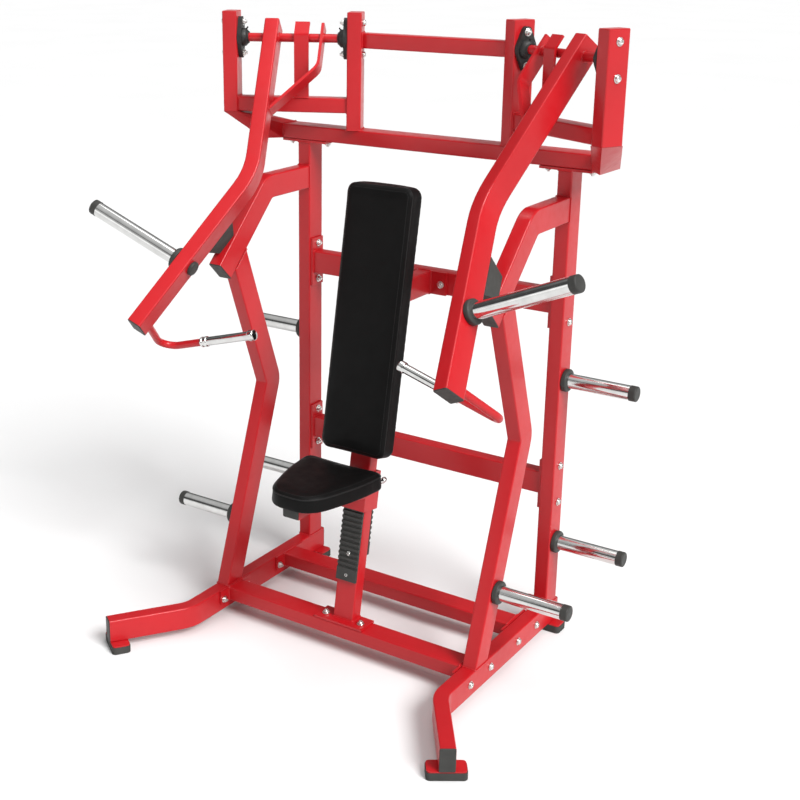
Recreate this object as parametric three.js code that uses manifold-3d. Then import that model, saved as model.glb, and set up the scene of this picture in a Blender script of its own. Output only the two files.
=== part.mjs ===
// Plate-loaded chest press machine: a welded and bolted frame of rectangular steel tube, two press
// arms that swing on shafts under the top brackets, a leaning post with a back pad and a seat that
// slides on it, eight weight horns and rubber feet.
// Millimetres, +Z up, +X to the sitter's left, -Y the way the sitter faces.

import * as THREE from "three";
import { mergeVertices } from "three/addons/utils/BufferGeometryUtils.js";
import { ConvexGeometry } from "three/addons/geometries/ConvexGeometry.js";
import Module from "manifold-3d";

const wasm = await Module();
wasm.setup();

// ---------------------------------------------------------------- driving dimensions
const TUBE_WIDTH = 50;            // narrow side of the frame tube
const TUBE_DEPTH = 80;            // wide side of the frame tube
const TUBE_WALL = 3;
const TUBE_CORNER = 5;            // outer corner radius of the tube
const GAP = 0.3;                  // clearance left where two pieces touch
const PLATE = 8;                  // flange and base plate thickness

const FRAME_X = 501;              // side frames: distance of their centre plane from the middle
const RAIL_BOTTOM = 30;
const RAIL_TOP = RAIL_BOTTOM + TUBE_DEPTH;
const RAIL_REAR_Y = 95;
const TOE_BEND_Y = -688;          // where the base rail turns outward
const TOE_END = { x: 664, y: -926 };

const UPRIGHT_Y = 40;             // centre of the rear uprights
const BEAM_BOTTOM = 1637;
const BEAM_HEIGHT = 50;
const BEAM_TOP = BEAM_BOTTOM + BEAM_HEIGHT;
const BEAM_HALF = 590;
const BLOCK_FOOT = [{ x: 640, y: -54 }, { x: 646, y: 88 }];     // outer lower corners of the beam end blocks

const FRONT_CROSS_Y = -472;
const REAR_CROSS_Y = -140;
const LOWER_BACK_Z = 560;         // centre heights of the two rear cross members
const UPPER_BACK_Z = 1197;

const STRUT_Z = 1508;             // centre of the strut from the upright to the front leg
const HIP_LINE = -1741.5;         // y - z along the centre of the sloping hip tube
const HIP_END = { y: -480.5, z: 1260.5 };
const KNEE = { y: -222, z: 812 };
const THIGH_TOP = { y: -398, z: 1286.6 };
const SHIN_BOTTOM = { y: -466, z: RAIL_TOP };

const BRACKET_YAW = THREE.MathUtils.degToRad(25);
const BRACKET_CORNER = { x: 267, y: 6 };
const BRACKET_LENGTH = 479;
const BRACKET_TOP = 2075;
const LOWER_BAR_BOTTOM = 1743;
const LOWER_BAR_FRONT = 9;
const LOWER_BAR_DEPTH = 60;
const CROSSBAR_Z = 1985;

const SHAFT_Z = 1990;
const SHAFT_V = 40;               // shaft axis, behind the bracket's front face
const SHAFT_RADIUS = 15;
const ARM_U = 313;                // upper arm's centre along the shaft
const BRACE_U = 139;
const GUARD_U = 207;

const HORN_RADIUS = 25;
const STORAGE_HORN_END_X = 780;
const STORAGE_HORN_HEIGHTS = [933, 348];
const FRONT_HORN_Z = 337;
const ARM_HORN_LENGTH = 368;
const ARM_HORN_FROM_END = 259;    // along the forearm, from its lower end

const HANDLE_RADIUS = 12.5;
const GRIP_RADIUS = 15;
const GRIP_LENGTH = 222;

const POST_TILT = THREE.MathUtils.degToRad(10);
const POST_FOOT_Y = -483;         // front face of the seat post where it meets the base
const POST_WIDTH = 80;
const POST_DEPTH = 50;
const POST_LENGTH = 1230;
const PAD_WIDTH = 256;
const PAD_THICKNESS = 66;
const PAD_BOTTOM = 594;           // along the post, from the top of the base
const PAD_TOP = 1480;

const ORIGIN_Y = 430;              // moves the middle of the machine's depth to the origin

// ---------------------------------------------------------------- materials
const redPaint = new THREE.MeshStandardMaterial({ color: 0xd2242e, roughness: 0.35, metalness: 0.1 });
const chrome = new THREE.MeshStandardMaterial({ color: 0xd6d6d8, roughness: 0.15, metalness: 1 });
const blackIron = new THREE.MeshStandardMaterial({ color: 0x23221f, roughness: 0.6, metalness: 0.5 });
const rubber = new THREE.MeshStandardMaterial({ color: 0x3b3a37, roughness: 0.9, metalness: 0 });
const plastic = new THREE.MeshStandardMaterial({ color: 0x262625, roughness: 0.5, metalness: 0 });
const upholstery = new THREE.MeshStandardMaterial({ color: 0x161616, roughness: 0.7, metalness: 0 });

// ---------------------------------------------------------------- small helpers
const vec = (x, y, z) => new THREE.Vector3(x, y, z);
const X_AXIS = vec(1, 0, 0);
const Y_AXIS = vec(0, 1, 0);
const Z_AXIS = vec(0, 0, 1);

// Corner points with the inner corners replaced by arcs of the given radius.
function roundedPath(corners, radius, stepDegrees = 8) {
  const path = [corners[0]];
  for (let i = 1; i < corners.length - 1; i++) {
    const into = corners[i].clone().sub(corners[i - 1]).normalize();
    const out = corners[i + 1].clone().sub(corners[i]).normalize();
    const angle = into.angleTo(out);
    const reach = radius * Math.tan(angle / 2);
    const start = corners[i].clone().addScaledVector(into, -reach);
    const towards = out.clone().addScaledVector(into, -into.dot(out)).normalize();
    const steps = Math.max(2, Math.ceil(THREE.MathUtils.radToDeg(angle) / stepDegrees));
    for (let k = 0; k <= steps; k++) {
      const turn = (angle * k) / steps;
      const along = radius * Math.sin(turn);
      const across = radius * (1 - Math.cos(turn));
      path.push(start.clone().addScaledVector(into, along).addScaledVector(towards, across));
    }
  }
  path.push(corners[corners.length - 1]);
  return path;
}

// Route of a tube: one extrusion step per path point, with the section's x axis carried from `side`.
class Route extends THREE.Curve {
  constructor(points, side) {
    super();
    this.points = points;
    this.side = side;
  }

  getPointAt(t) {
    return this.points[Math.round(t * (this.points.length - 1))].clone();
  }

  tangent(i) {
    const last = this.points.length - 1;
    const into = this.points[i].clone().sub(this.points[Math.max(i - 1, 0)]).normalize();
    const out = this.points[Math.min(i + 1, last)].clone().sub(this.points[i]).normalize();
    return into.add(out).normalize();
  }

  computeFrenetFrames() {
    const tangents = this.points.map((_, i) => this.tangent(i));
    const normals = [];
    let side = this.side.clone();
    tangents.forEach((tangent, i) => {
      if (i > 0) {
        const turn = new THREE.Quaternion().setFromUnitVectors(tangents[i - 1], tangent);
        side.applyQuaternion(turn);
      }
      side = side.addScaledVector(tangent, -side.dot(tangent)).normalize();
      normals.push(side.clone());
    });
    const binormals = tangents.map((tangent, i) => tangent.clone().cross(normals[i]));
    return { tangents, normals, binormals };
  }
}

function roundedRectangle(target, width, depth, corner) {
  const w = width / 2;
  const d = depth / 2;
  target.absarc(w - corner, d - corner, corner, 0, Math.PI / 2);
  target.absarc(-w + corner, d - corner, corner, Math.PI / 2, Math.PI);
  target.absarc(-w + corner, -d + corner, corner, Math.PI, 1.5 * Math.PI);
  target.absarc(w - corner, -d + corner, corner, 1.5 * Math.PI, 2 * Math.PI);
  return target;
}

function rectangle(target, width, depth) {
  target.moveTo(-width / 2, -depth / 2);
  target.lineTo(-width / 2, depth / 2);
  target.lineTo(width / 2, depth / 2);
  target.lineTo(width / 2, -depth / 2);
  target.closePath();
  return target;
}

function tubeSection(width, depth, wall) {
  const shape = roundedRectangle(new THREE.Shape(), width, depth, TUBE_CORNER);
  shape.holes.push(rectangle(new THREE.Path(), width - 2 * wall, depth - 2 * wall));
  return shape;
}

function alongPath(section, points, side, curveSegments = 1) {
  const steps = points.length - 1;
  return new THREE.ExtrudeGeometry(section, {
    steps, curveSegments, bevelEnabled: false, extrudePath: new Route(points, side),
  });
}

// Slides the end of an extrusion along its own direction until it lies on a plane.
function trimEnd(geometry, endPoint, direction, planePoint, planeNormal) {
  const position = geometry.attributes.position;
  const vertex = new THREE.Vector3();
  for (let i = 0; i < position.count; i++) {
    vertex.fromBufferAttribute(position, i);
    const fromEnd = Math.abs(vertex.clone().sub(endPoint).dot(direction));
    if (fromEnd < 0.01) {
      const distance = planePoint.clone().sub(vertex).dot(planeNormal) / direction.dot(planeNormal);
      vertex.addScaledVector(direction, distance);
      position.setXYZ(i, vertex.x, vertex.y, vertex.z);
    }
  }
  return geometry;
}

// A rectangular tube along a path, its ends trimmed to planes where these are given.
function frameTube(points, side, options = {}) {
  const { width = TUBE_WIDTH, depth = TUBE_DEPTH, wall = TUBE_WALL, startPlane, endPlane } = options;
  const geometry = alongPath(tubeSection(width, depth, wall), points, side);
  if (startPlane) {
    const direction = points[1].clone().sub(points[0]).normalize();
    trimEnd(geometry, points[0], direction, startPlane.point, startPlane.normal);
  }
  if (endPlane) {
    const last = points.length - 1;
    const direction = points[last].clone().sub(points[last - 1]).normalize();
    trimEnd(geometry, points[last], direction, endPlane.point, endPlane.normal);
  }
  return geometry;
}

function box(sizeX, sizeY, sizeZ, centre) {
  return new THREE.BoxGeometry(sizeX, sizeY, sizeZ).translate(centre.x, centre.y, centre.z);
}

// A solid of revolution: outline of [radius, height] pairs, turned onto an axis direction.
function turned(outline, base, direction, segments = 24) {
  const points = outline.map(([radius, height]) => new THREE.Vector2(radius, height));
  const geometry = new THREE.LatheGeometry(points, segments);
  geometry.applyQuaternion(new THREE.Quaternion().setFromUnitVectors(Y_AXIS, direction));
  return geometry.translate(base.x, base.y, base.z);
}

function rod(from, to, radius, segments = 24) {
  const length = from.distanceTo(to);
  const direction = to.clone().sub(from).normalize();
  return turned([[0, 0], [radius, 0], [radius, length], [0, length]], from, direction, segments);
}

function toSolid(geometry) {
  const plain = geometry.clone();
  plain.deleteAttribute("normal");
  plain.deleteAttribute("uv");
  const merged = mergeVertices(plain, 1e-3);
  const corners = merged.index.array;
  const triangles = [];
  for (let i = 0; i < corners.length; i += 3) {
    const [a, b, c] = [corners[i], corners[i + 1], corners[i + 2]];
    if (a !== b && b !== c && c !== a) {
      triangles.push(a, b, c);
    }
  }
  return new wasm.Manifold(new wasm.Mesh({
    numProp: 3,
    vertProperties: new Float32Array(merged.attributes.position.array),
    triVerts: new Uint32Array(triangles),
  }));
}

function toGeometry(solid) {
  const mesh = solid.getMesh();
  const geometry = new THREE.BufferGeometry();
  geometry.setAttribute("position", new THREE.BufferAttribute(new Float32Array(mesh.vertProperties), 3));
  geometry.setIndex(new THREE.BufferAttribute(new Uint32Array(mesh.triVerts), 1));
  geometry.computeVertexNormals();
  return geometry;
}

const joined = (first, ...others) =>
  toGeometry(others.reduce((solid, other) => solid.add(toSolid(other)), toSolid(first)));

const drilled = (blank, ...tools) =>
  toGeometry(tools.reduce((solid, tool) => solid.subtract(toSolid(tool)), toSolid(blank)));

// The same geometry on the other side of the middle plane, its faces still pointing out.
function mirrored(geometry) {
  const copy = geometry.index ? geometry.toNonIndexed() : geometry.clone();
  copy.scale(-1, 1, 1);
  const position = copy.attributes.position;
  for (let i = 0; i < position.count; i += 3) {
    const second = vec(position.getX(i + 1), position.getY(i + 1), position.getZ(i + 1));
    position.setXYZ(i + 1, position.getX(i + 2), position.getY(i + 2), position.getZ(i + 2));
    position.setXYZ(i + 2, second.x, second.y, second.z);
  }
  copy.computeVertexNormals();
  return copy;
}

const machine = new THREE.Group();
machine.position.y = ORIGIN_Y;

function add(name, geometry, material, parent = machine) {
  const mesh = new THREE.Mesh(geometry, material);
  mesh.name = name;
  parent.add(mesh);
}

function addPair(name, rightGeometry, material) {
  add(`right_${name}`, rightGeometry, material);
  add(`left_${name}`, mirrored(rightGeometry), material);
}

// ---------------------------------------------------------------- base
const toeBend = vec(FRAME_X, TOE_BEND_Y, 0);
const toeEnd = vec(TOE_END.x, TOE_END.y, 0);
const toeDirection = toeEnd.clone().sub(toeBend).normalize();
const toeAcross = vec(-toeDirection.y, toeDirection.x, 0);

const FOOT_LENGTH = 120;
const FOOT_DEPTH = 60;
const FOOT_PLATE = 10;
const FOOT_CORNER = 12;
const FOOT_RUBBER = RAIL_BOTTOM - FOOT_PLATE;

// A foot's block under a rail end, square to the rail there.
function footBlock(centre, across, length, depth, bottom, top) {
  const outline = roundedRectangle(new THREE.Shape(), length, depth, FOOT_CORNER);
  const block = new THREE.ExtrudeGeometry(outline, { depth: top - bottom, bevelEnabled: false, curveSegments: 2 });
  block.rotateZ(Math.atan2(across.y, across.x));
  return block.translate(centre.x, centre.y, bottom);
}

const frontFoot = toeEnd.clone().addScaledVector(toeDirection, -FOOT_DEPTH / 2);
const rearFoot = vec(FRAME_X, RAIL_REAR_Y - FOOT_DEPTH / 2, 0);
const feet = [
  { name: "front_foot", centre: frontFoot, across: toeAcross },
  { name: "rear_foot", centre: rearFoot, across: X_AXIS },
];

function baseRail() {
  const z = RAIL_BOTTOM + TUBE_DEPTH / 2;
  const corners = [vec(FRAME_X, RAIL_REAR_Y, z), vec(FRAME_X, TOE_BEND_Y, z), vec(toeEnd.x, toeEnd.y, z)];
  const tube = frameTube(roundedPath(corners, 110), X_AXIS);
  const overlap = 1;                               // the foot plates are welded on
  const plates = feet.map(({ centre, across }) =>
    footBlock(centre, across, FOOT_LENGTH, FOOT_DEPTH, FOOT_RUBBER + GAP, RAIL_BOTTOM + overlap));
  return joined(tube, ...plates);
}

addPair("base_rail", baseRail(), redPaint);
for (const { name, centre, across } of feet) {
  addPair(name, footBlock(centre, across, FOOT_LENGTH - 2, FOOT_DEPTH - 2, 0, FOOT_RUBBER), rubber);
}

// A cross member between the side frames, with a bolted flange plate welded on each end.
function crossMember({ y, z, width, depth, side, flangeY, flangeZ }) {
  const inner = FRAME_X - TUBE_WIDTH / 2 - GAP;
  const reach = inner - PLATE + 0.5;               // the tube runs a little into its flanges
  const tube = frameTube([vec(-reach, y, z), vec(reach, y, z)], side, { width, depth });
  const flange = (s) => box(PLATE, flangeY, flangeZ, vec(s * (inner - PLATE / 2), y, z));
  const vent = rod(vec(-inner - PLATE, y, z), vec(inner + PLATE, y, z), 12);
  return drilled(joined(tube, flange(1), flange(-1)), vent);
}

const baseCross = { z: RAIL_TOP - TUBE_WIDTH / 2, width: TUBE_WIDTH, depth: TUBE_DEPTH, side: Z_AXIS };
const baseFlange = { flangeY: 170, flangeZ: TUBE_WIDTH };
const backCross = { y: UPRIGHT_Y, width: TUBE_DEPTH, depth: TUBE_WIDTH, side: Z_AXIS };
const backFlange = { flangeY: 66, flangeZ: 174 };
add("front_base_cross", crossMember({ ...baseCross, ...baseFlange, y: FRONT_CROSS_Y }), redPaint);
add("rear_base_cross", crossMember({ ...baseCross, ...baseFlange, y: REAR_CROSS_Y }), redPaint);
add("lower_back_cross", crossMember({ ...backCross, ...backFlange, z: LOWER_BACK_Z }), redPaint);
add("upper_back_cross", crossMember({ ...backCross, ...backFlange, z: UPPER_BACK_Z }), redPaint);

// ---------------------------------------------------------------- rear uprights and top beam
function rearUpright() {
  const top = BEAM_BOTTOM - GAP;
  const tube = frameTube([vec(FRAME_X, UPRIGHT_Y, RAIL_TOP + GAP), vec(FRAME_X, UPRIGHT_Y, top - PLATE + 0.5)], X_AXIS);
  const plate = box(180, TUBE_DEPTH, PLATE, vec(FRAME_X, UPRIGHT_Y, top - PLATE / 2));
  return joined(tube, plate);
}

addPair("rear_upright", rearUpright(), redPaint);

const beamZ = BEAM_BOTTOM + BEAM_HEIGHT / 2;
const beamEnd = BEAM_HALF - GAP;
add("top_beam", frameTube([vec(-beamEnd, UPRIGHT_Y, beamZ), vec(beamEnd, UPRIGHT_Y, beamZ)], Z_AXIS), redPaint);

// The block on each end of the top beam fans out and up to the foot of the bracket's outer post.
function beamEndBlock() {
  const inner = BEAM_HALF + GAP;
  const front = UPRIGHT_Y - TUBE_DEPTH / 2;
  const back = UPRIGHT_Y + TUBE_DEPTH / 2;
  const top = LOWER_BAR_BOTTOM - GAP;
  return new ConvexGeometry([
    vec(inner, front, BEAM_BOTTOM), vec(inner, back, BEAM_BOTTOM),
    vec(inner, front, BEAM_TOP), vec(inner, back, BEAM_TOP),
    ...BLOCK_FOOT.map(({ x, y }) => vec(x, y, BEAM_BOTTOM)),
    inBracket(outerPostU - TUBE_WIDTH / 2, 0, top), inBracket(outerPostU - TUBE_WIDTH / 2, TUBE_DEPTH, top),
    inBracket(outerPostU + TUBE_WIDTH / 2, 0, top), inBracket(outerPostU + TUBE_WIDTH / 2, TUBE_DEPTH, top),
  ]);
}


// ---------------------------------------------------------------- front legs
function hipTube() {
  const cornerY = STRUT_Z + HIP_LINE;
  const corners = [
    vec(FRAME_X, -GAP, STRUT_Z), vec(FRAME_X, cornerY, STRUT_Z), vec(FRAME_X, HIP_END.y, HIP_END.z),
  ];
  return frameTube(roundedPath(corners, 62), X_AXIS);
}

function legTube() {
  const corners = [
    vec(FRAME_X, THIGH_TOP.y, THIGH_TOP.z), vec(FRAME_X, KNEE.y, KNEE.z),
    vec(FRAME_X, SHIN_BOTTOM.y, SHIN_BOTTOM.z),
  ];
  const underHip = vec(0, 1, -1).normalize();      // normal of the hip tube's lower face
  const hipFace = vec(FRAME_X, HIP_END.y, HIP_END.z).addScaledVector(underHip, TUBE_DEPTH / 2 + GAP);
  return frameTube(roundedPath(corners, 48), X_AXIS, {
    startPlane: { point: hipFace, normal: underHip },
    endPlane: { point: vec(0, 0, RAIL_TOP + GAP), normal: Z_AXIS },
  });
}

addPair("hip_tube", hipTube(), redPaint);
addPair("front_leg", legTube(), redPaint);

// ---------------------------------------------------------------- pivot brackets
// Bracket frame of the right side: u runs outward along the shaft, v backward, z up.
const uAxis = vec(Math.cos(BRACKET_YAW), -Math.sin(BRACKET_YAW), 0);
const vAxis = vec(Math.sin(BRACKET_YAW), Math.cos(BRACKET_YAW), 0);
const inBracket = (u, v, z) =>
  vec(BRACKET_CORNER.x, BRACKET_CORNER.y, z).addScaledVector(uAxis, u).addScaledVector(vAxis, v);

function bracketPost(u, bottom) {
  const v = TUBE_DEPTH / 2;
  return frameTube([inBracket(u, v, bottom + GAP), inBracket(u, v, BRACKET_TOP)], uAxis);
}

const innerPostU = TUBE_WIDTH / 2;
const outerPostU = BRACKET_LENGTH - TUBE_WIDTH / 2;
addPair("inner_post", bracketPost(innerPostU, BEAM_TOP), redPaint);
addPair("outer_post", bracketPost(outerPostU, LOWER_BAR_BOTTOM), redPaint);
addPair("beam_end_block", beamEndBlock(), redPaint);

const barV = LOWER_BAR_FRONT + LOWER_BAR_DEPTH / 2;
const barZ = LOWER_BAR_BOTTOM + TUBE_WIDTH / 2;
const barFrom = inBracket(TUBE_WIDTH + GAP, barV, barZ);
const barTo = inBracket(BRACKET_LENGTH - TUBE_WIDTH - GAP, barV, barZ);
addPair("lower_bar", frameTube([barFrom, barTo], Z_AXIS, { depth: LOWER_BAR_DEPTH }), redPaint);

// The crossbar between the inner posts, its ends trimmed to their yawed faces.
function crossbar() {
  const y = 50;
  const face = inBracket(-GAP, 0, 0);
  const leftNormal = vec(-uAxis.x, uAxis.y, 0);
  return frameTube([vec(-280, y, CROSSBAR_Z), vec(280, y, CROSSBAR_Z)], Z_AXIS, {
    depth: TUBE_WIDTH,
    startPlane: { point: vec(-face.x, face.y, 0), normal: leftNormal },
    endPlane: { point: face, normal: uAxis },
  });
}

add("crossbar", crossbar(), redPaint);

const shaftPoint = (u) => inBracket(u, SHAFT_V, SHAFT_Z);
const shaftBore = (from, to) => rod(shaftPoint(from), shaftPoint(to), SHAFT_RADIUS + GAP, 16);

// Two-bolt flange bearing: a lozenge flange with a raised hub, bored for the shaft.
function flangeBearing(faceU, outward) {
  const LENGTH = 138;
  const BOLT_SPAN = 104;
  const HUB_RADIUS = 30;
  const FLANGE = 14;
  const HUB_HEIGHT = 32;
  const lobe = (LENGTH - BOLT_SPAN) / 2;
  const outline = new THREE.Shape();
  const tilt = Math.asin((HUB_RADIUS + 8 - lobe) / (BOLT_SPAN / 2));
  outline.absarc(0, BOLT_SPAN / 2, lobe, tilt, Math.PI - tilt);
  outline.absarc(0, 0, HUB_RADIUS + 8, Math.PI - tilt, Math.PI + tilt);
  outline.absarc(0, -BOLT_SPAN / 2, lobe, Math.PI + tilt, 2 * Math.PI - tilt);
  outline.absarc(0, 0, HUB_RADIUS + 8, -tilt, tilt);
  const flange = new THREE.ExtrudeGeometry(outline, { depth: FLANGE, bevelEnabled: false, curveSegments: 4 });
  const hub = turned([[0, 1], [HUB_RADIUS, 1], [HUB_RADIUS, HUB_HEIGHT - 8], [HUB_RADIUS - 8, HUB_HEIGHT],
    [0, HUB_HEIGHT]], vec(0, 0, 0), Z_AXIS);
  const bore = rod(vec(0, 0, -5), vec(0, 0, HUB_HEIGHT + 5), SHAFT_RADIUS + GAP, 16);
  const geometry = drilled(joined(flange, hub), bore);
  const facing = uAxis.clone().multiplyScalar(outward);
  const across = Z_AXIS.clone().cross(facing);
  geometry.applyMatrix4(new THREE.Matrix4().makeBasis(across, Z_AXIS, facing));
  const seat = shaftPoint(faceU + outward * GAP);
  return geometry.translate(seat.x, seat.y, seat.z);
}

addPair("inner_bearing", flangeBearing(TUBE_WIDTH, 1), blackIron);
addPair("outer_bearing", flangeBearing(BRACKET_LENGTH - TUBE_WIDTH, -1), blackIron);
const shaftStart = shaftPoint(TUBE_WIDTH + 4);
const shaftStop = shaftPoint(BRACKET_LENGTH - TUBE_WIDTH - 4);
addPair("arm_shaft", rod(shaftStart, shaftStop, SHAFT_RADIUS - GAP, 16), redPaint);

// Flat bar standing on the lower bar in front of the shaft, its top bent back over the shaft.
function shaftGuard() {
  const THICKNESS = 8;
  const v = LOWER_BAR_FRONT + THICKNESS / 2 + 0.5;
  const corners = [
    inBracket(GUARD_U, v, LOWER_BAR_BOTTOM + TUBE_WIDTH + GAP), inBracket(GUARD_U, v, 2004),
    inBracket(GUARD_U, v + 29, 2042),
  ];
  const section = rectangle(new THREE.Shape(), TUBE_WIDTH, THICKNESS);
  return alongPath(section, roundedPath(corners, 14), uAxis);
}

addPair("shaft_guard", shaftGuard(), redPaint);

// ---------------------------------------------------------------- press arms
const armTop = inBracket(ARM_U, 67.6, 2028.6);
const armBend = inBracket(ARM_U, -287, 1570.5);
const armEnd = inBracket(624, -623, 1137);
const ARM_BEND_RADIUS = 250;
const upperArmDirection = armBend.clone().sub(armTop).normalize();
const forearmDirection = armEnd.clone().sub(armBend).normalize();
const forearmTurn = new THREE.Quaternion().setFromUnitVectors(upperArmDirection, forearmDirection);
const forearmSide = uAxis.clone().applyQuaternion(forearmTurn);      // out of the forearm's outer face
const forearmBack = forearmSide.clone().cross(forearmDirection);     // out of the face towards the frame

function pressArm() {
  const tube = frameTube(roundedPath([armTop, armBend, armEnd], ARM_BEND_RADIUS, 6), uAxis);
  return drilled(tube, shaftBore(ARM_U - 40, ARM_U + 40));
}

// Flat bar parallel to the upper arm that then runs out to it, so the arm has two holds on the shaft.
function armBrace() {
  const WIDTH = 48;
  const THICKNESS = 10;
  const armInnerU = ARM_U - TUBE_WIDTH / 2;
  const corners = [
    inBracket(BRACE_U, 69, 2026), inBracket(BRACE_U, -31, 1897), inBracket(armInnerU - 1, -117, 1764),
  ];
  const path = roundedPath(corners, 45, 15);
  const bar = alongPath(rectangle(new THREE.Shape(), THICKNESS, WIDTH), path, uAxis);
  const last = path.length - 1;
  const direction = path[last].clone().sub(path[last - 1]).normalize();
  trimEnd(bar, path[last], direction, inBracket(armInnerU - GAP, 0, 0), uAxis);
  return drilled(bar, shaftBore(BRACE_U - 30, BRACE_U + 30));
}

addPair("press_arm", pressArm(), redPaint);
addPair("arm_brace", armBrace(), redPaint);

const hornFoot = armEnd.clone()
  .addScaledVector(forearmDirection, -ARM_HORN_FROM_END)
  .addScaledVector(forearmSide, TUBE_WIDTH / 2 + GAP);

// A weight horn: a round bar with a wide stop collar where it is welded on.
function weightHorn(base, direction, length) {
  const COLLAR_RADIUS = 38;
  const COLLAR_LENGTH = 16;
  const chamfer = 3;
  return turned([
    [0, 0], [COLLAR_RADIUS, 0], [COLLAR_RADIUS, COLLAR_LENGTH - chamfer],
    [COLLAR_RADIUS - chamfer, COLLAR_LENGTH], [HORN_RADIUS, COLLAR_LENGTH],
    [HORN_RADIUS, length - chamfer], [HORN_RADIUS - chamfer, length], [0, length],
  ], base, direction, 24);
}

addPair("arm_horn", weightHorn(hornFoot, forearmSide, ARM_HORN_LENGTH), chrome);

const handleFoot = armEnd.clone()
  .addScaledVector(forearmDirection, -36)
  .addScaledVector(forearmBack, TUBE_DEPTH / 2 + GAP);
const handleElbow = vec(658, -607, 997);
const handleTip = vec(272, -594, 1106);
const gripDirection = handleTip.clone().sub(handleElbow).normalize();
const gripStart = handleTip.clone().addScaledVector(gripDirection, -GRIP_LENGTH);

// Bent round bar from the forearm to where the grip begins, trimmed to the forearm's back face.
function handleTube() {
  const section = new THREE.Shape().absarc(0, 0, HANDLE_RADIUS, 0, 2 * Math.PI);
  const path = roundedPath([handleFoot, handleElbow, gripStart], 45, 12);
  const direction = path[1].clone().sub(path[0]).normalize();
  const tube = alongPath(section, path, Z_AXIS.clone().cross(direction).normalize(), 6);
  return trimEnd(tube, path[0], direction, handleFoot, forearmBack);
}

// Chrome grip with a low flange at each end.
function grip() {
  const start = gripStart.clone().addScaledVector(gripDirection, GAP);
  const flange = GRIP_RADIUS + 3;
  return turned([
    [0, 0], [GRIP_RADIUS, 0], [GRIP_RADIUS, 14], [flange, 16], [flange, 24], [GRIP_RADIUS, 26],
    [GRIP_RADIUS, GRIP_LENGTH - 24], [flange, GRIP_LENGTH - 20], [flange, GRIP_LENGTH - 4],
    [flange - 4, GRIP_LENGTH], [0, GRIP_LENGTH],
  ], start, gripDirection, 16);
}

addPair("handle_tube", handleTube(), redPaint);
addPair("hand_grip", grip(), chrome);

// ---------------------------------------------------------------- weight storage and bumpers
const sideFace = FRAME_X + TUBE_WIDTH / 2 + GAP;
const storageLength = STORAGE_HORN_END_X - sideFace;
const shinSlope = (KNEE.y - SHIN_BOTTOM.y) / (KNEE.z - SHIN_BOTTOM.z);
const frontHornY = KNEE.y - (KNEE.z - FRONT_HORN_Z) * shinSlope;
const storagePlaces = [
  ["upper_storage_horn", UPRIGHT_Y, STORAGE_HORN_HEIGHTS[0]],
  ["lower_storage_horn", UPRIGHT_Y, STORAGE_HORN_HEIGHTS[1]],
  ["front_storage_horn", frontHornY, FRONT_HORN_Z],
];
for (const [name, y, z] of storagePlaces) {
  addPair(name, weightHorn(vec(sideFace, y, z), X_AXIS, storageLength), chrome);
}

// Rubber bumper under the forearm, tapering to the hip tube's upper face, where the arm rests.
function bumper() {
  const hipFront = vec(0, -1, 1).normalize();
  const hipFace = vec(FRAME_X, HIP_END.y, HIP_END.z).addScaledVector(hipFront, TUBE_DEPTH / 2 + 2 * GAP);
  const inner = 2 - TUBE_WIDTH / 2;
  const outer = TUBE_WIDTH / 2 - 2;
  const FOOT_INSET = 18;                           // the bumper narrows on its outer side
  const armSpan = [342, 472];                      // distances along the forearm from its lower end
  const footSpan = [378, 456];
  const onArm = (distance, across) => armEnd.clone()
    .addScaledVector(forearmDirection, -distance)
    .addScaledVector(forearmSide, across)
    .addScaledVector(forearmBack, TUBE_DEPTH / 2 + GAP);
  const onHip = (distance, across) => {
    const point = onArm(distance, across);
    const drop = hipFace.clone().sub(point).dot(hipFront) / forearmBack.dot(hipFront);
    return point.addScaledVector(forearmBack, drop);
  };
  return new ConvexGeometry([
    ...armSpan.flatMap((distance) => [onArm(distance, inner), onArm(distance, outer)]),
    ...footSpan.flatMap((distance) => [onHip(distance, inner), onHip(distance, outer - FOOT_INSET)]),
  ]);
}

addPair("arm_bumper", bumper(), rubber);

// ---------------------------------------------------------------- seat post, pads and seat
// Leaning group: x across, y back from the post's front face, z up along the post.
const leaning = new THREE.Group();
leaning.position.set(0, POST_FOOT_Y, RAIL_TOP);
leaning.rotation.x = -POST_TILT;
machine.add(leaning);

const inLeaning = (x, y, z) => vec(x, y, z).applyAxisAngle(X_AXIS, -POST_TILT).add(leaning.position);
const postCentre = (z) => inLeaning(0, POST_DEPTH / 2, z);

function seatPost() {
  const plateTop = RAIL_TOP + GAP + PLATE;
  const tube = frameTube([postCentre(10), postCentre(POST_LENGTH)], X_AXIS, {
    width: POST_WIDTH, depth: POST_DEPTH,
    startPlane: { point: vec(0, 0, plateTop - 0.5), normal: Z_AXIS },
  });
  const plate = box(190, 80, PLATE, vec(0, FRONT_CROSS_Y, plateTop - PLATE / 2));
  return joined(tube, plate);
}

add("seat_post", seatPost(), redPaint);

// Stub from the post's back to a flange bolted on the upper cross member.
function postStub() {
  const flangeBack = UPRIGHT_Y - TUBE_WIDTH / 2 - GAP;
  const behind = vec(0, Math.cos(POST_TILT), -Math.sin(POST_TILT));
  const tube = frameTube([vec(0, -230, UPPER_BACK_Z), vec(0, flangeBack - PLATE + 0.5, UPPER_BACK_Z)], X_AXIS, {
    startPlane: { point: inLeaning(0, POST_DEPTH + GAP, 0), normal: behind },
  });
  const flange = box(170, PLATE, TUBE_DEPTH, vec(0, flangeBack - PLATE / 2, UPPER_BACK_Z));
  return joined(tube, flange);
}

add("post_stub", postStub(), redPaint);

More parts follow.
